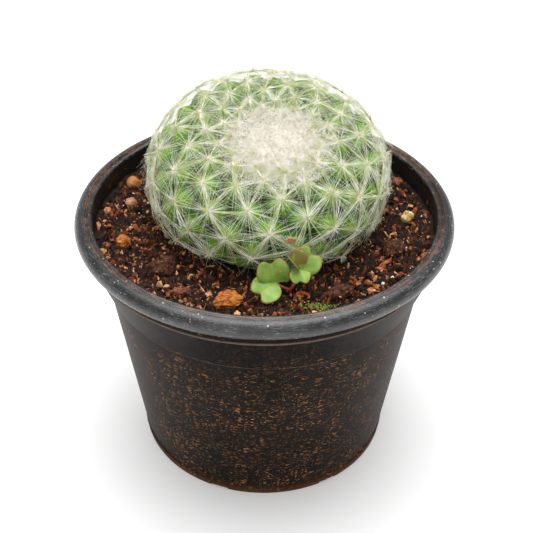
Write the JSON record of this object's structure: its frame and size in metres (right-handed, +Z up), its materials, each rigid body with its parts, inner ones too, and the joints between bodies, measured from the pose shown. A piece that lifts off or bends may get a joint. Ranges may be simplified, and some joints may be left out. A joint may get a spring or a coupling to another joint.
{
  "type": "potted feather cactus",
  "caption": "Feather cactus globe under a net of white spines, with a wood-sorrel seedling, in a black plant pot with soil.",
  "frame": {"origin": "middle of the pot's foot, on the surface that it stands on", "axes": "+Z up along the pot's axis; the front, to which the cactus leans, is -Y"},
  "size_m": [0.1, 0.1, 0.1],
  "materials": {
    "pot": "moulded black polypropylene, worn satin, with dust and rust-brown flecks",
    "soil": "damp brown peat and bark mix",
    "cactus_skin": "waxy green skin",
    "spines": "white feathery spines",
    "dried_bud": "dry brown flower remnant",
    "sorrel_stalk": "smooth red stalk",
    "sorrel_leaf": "soft light green leaf with reddish margin",
    "bark": "rough orange-brown bark",
    "clod": "crumbly brown peat clod",
    "clay": "fired clay granule",
    "stone": "rough pale grit"
  },
  "bodies": {
    "root": {"pot": "pot", "soil": "soil", "cactus_stem": "cactus_skin", "spine_net": "spines", "dried_bud": "dried_bud", "sorrel_stem": "sorrel_stalk", "sorrel_leaf_left": "sorrel_leaf", "sorrel_leaf_right": "sorrel_leaf", "bark_chip": "bark", "bark_flake": "bark", "red_chip": "bark", "clod_left": "clod", "clod_right": "clod", "clod_front": "clod", "clay_ball": "clay", "pale_pebble": "stone", "pumice_chip": "stone", "pale_shard": "stone"}
  },
  "joints": []
}
